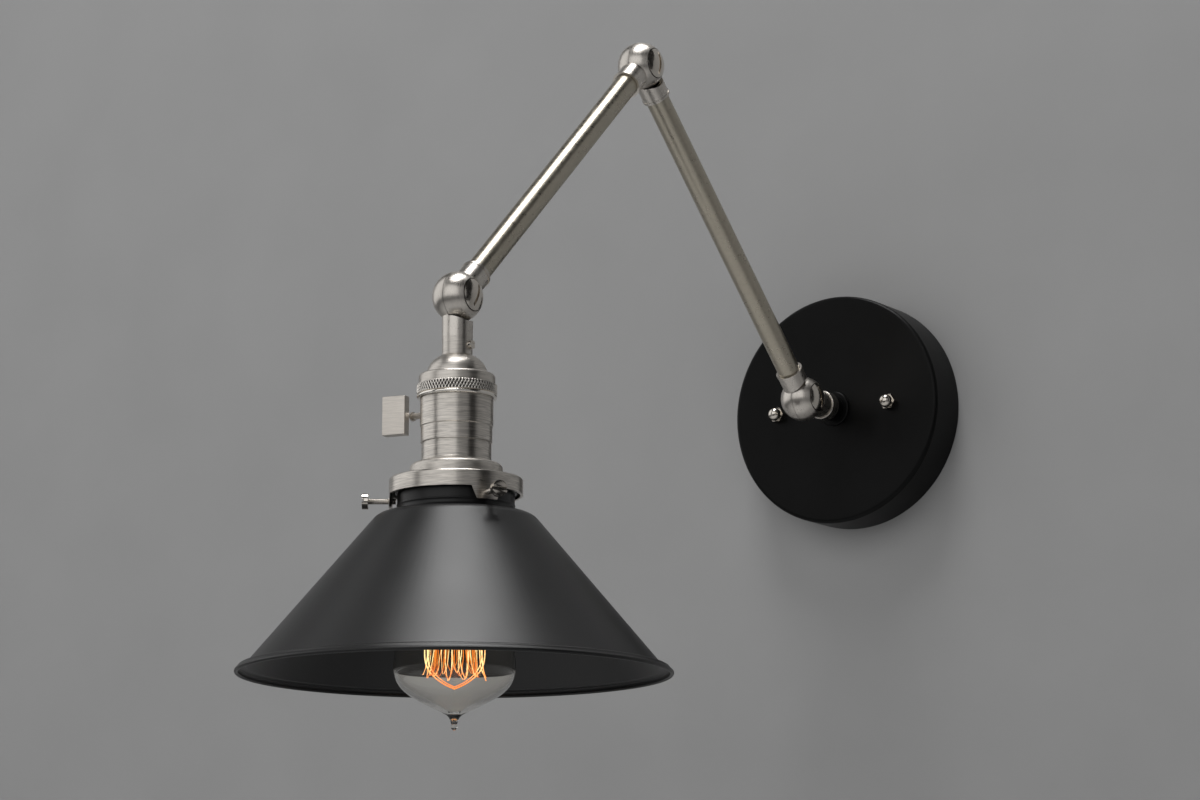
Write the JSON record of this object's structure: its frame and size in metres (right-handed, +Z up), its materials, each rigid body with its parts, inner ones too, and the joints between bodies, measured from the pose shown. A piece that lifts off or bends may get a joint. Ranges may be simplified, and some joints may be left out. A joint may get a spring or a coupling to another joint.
{
  "type": "swing arm wall sconce",
  "caption": "Swing arm wall sconce: round wall plate, two tube arms joined by split-ball friction swivels, key-switch socket, cone shade and long filament bulb.",
  "frame": {"origin": "centre of the wall plate, on the wall, at the middle of the mounting straps that lie flat on it", "axes": "+Z up along the wall, +Y into the wall (the lamp reaches out along -Y), +X to the right of someone who faces the wall"},
  "size_m": [0.2116, 0.5021, 0.3818],
  "materials": {
    "matte_black": "matte",
    "satin_nickel": "brushed",
    "bright_nickel": "polished",
    "zinc_steel": "plated",
    "ground_green": "painted",
    "brass": "plain",
    "fibre_liner": "plain",
    "black_moulding": "moulded",
    "clear_glass": "clear",
    "dark_glass": "moulded",
    "filament_wire": "glowing"
  },
  "bodies": {
    "wall_mount": {"canopy": "matte_black", "wall_strap": "zinc_steel", "canopy_strap": "zinc_steel", "strap_eyelet": "zinc_steel", "ground_screw": "ground_green", "canopy_studs": "zinc_steel", "stud_nuts": "zinc_steel", "cap_nuts": "bright_nickel", "canopy_nipple": "zinc_steel", "nipple_lockwasher": "zinc_steel", "nipple_locknut": "zinc_steel", "canopy_bushing": "matte_black"},
    "wall_swivel": {"wall_coupling": "satin_nickel", "wall_swivel_base": "satin_nickel"},
    "lower_arm": {"wall_swivel_arm_half": "satin_nickel", "wall_swivel_screw": "bright_nickel", "wall_swivel_washer": "zinc_steel", "lower_arm_tube": "satin_nickel", "elbow_lower_half": "satin_nickel", "elbow_screw": "bright_nickel", "elbow_washer": "zinc_steel"},
    "upper_arm": {"elbow_upper_half": "satin_nickel", "upper_arm_tube": "satin_nickel", "socket_swivel_arm_half": "satin_nickel"},
    "socket": {"socket_swivel_drop_half": "satin_nickel", "socket_swivel_screw": "bright_nickel", "socket_swivel_washer": "zinc_steel", "socket_nipple": "zinc_steel", "socket_cap": "satin_nickel", "cap_set_screw": "bright_nickel", "knurled_ring": "satin_nickel", "socket_shell": "satin_nickel", "shell_liner": "fibre_liner", "socket_interior": "black_moulding", "terminal_screws": "brass", "screw_shell": "brass", "centre_contact": "brass", "fitter_flange": "satin_nickel", "shade_holder": "satin_nickel", "shade": "matte_black"},
    "switch_key": {"key_stem": "satin_nickel", "key_paddle": "satin_nickel"},
    "thumbscrew_left": {"thumbscrew_left": "bright_nickel"},
    "thumbscrew_front": {"thumbscrew_front": "bright_nickel"},
    "thumbscrew_back": {"thumbscrew_back": "bright_nickel"},
    "bulb": {"bulb_contact": "zinc_steel", "bulb_insulator": "dark_glass", "bulb_base": "brass", "bulb_glass": "clear_glass", "glass_stem": "clear_glass", "filament": "filament_wire", "filament_supports": "zinc_steel"}
  },
  "joints": [
    {"name": "wall_turn", "type": "hinge", "parent": "wall_mount", "child": "wall_swivel", "pos_m": [0, -0.063, 0], "axis": [0, 1, 0], "range_deg": [-90, 90]},
    {"name": "wall_tilt", "type": "hinge", "parent": "wall_swivel", "child": "lower_arm", "pos_m": [0, -0.063, 0], "axis": [1, 0, 0], "range_deg": [-47.5, 132.5]},
    {"name": "elbow_tilt", "type": "hinge", "parent": "lower_arm", "child": "upper_arm", "pos_m": [0, -0.23154, 0.15444], "axis": [-1, 0, 0], "range_deg": [-13.6, 186.4]},
    {"name": "socket_tilt", "type": "hinge", "parent": "upper_arm", "child": "socket", "pos_m": [0, -0.39626, -0.00407], "axis": [1, 0, 0], "range_deg": [-146.1, 53.9]},
    {"name": "key_turn", "type": "hinge", "parent": "socket", "child": "switch_key", "pos_m": [-0.027, -0.39626, -0.06057], "axis": [-1, 0, 0], "continuous": true},
    {"name": "thumbscrew_left_out", "type": "slide", "parent": "socket", "child": "thumbscrew_left", "axis": [-0.8339, -0.5519, 0], "range_m": [0, 0.004]},
    {"name": "thumbscrew_front_out", "type": "slide", "parent": "socket", "child": "thumbscrew_front", "axis": [0.8949, -0.4462, 0], "range_m": [0, 0.004]},
    {"name": "thumbscrew_back_out", "type": "slide", "parent": "socket", "child": "thumbscrew_back", "axis": [-0.061, 0.9981, 0], "range_m": [0, 0.004]},
    {"name": "bulb_turn", "type": "hinge", "parent": "socket", "child": "bulb", "pos_m": [0, -0.39626, -0.07847], "axis": [0, 0, 1], "continuous": true}
  ]
}
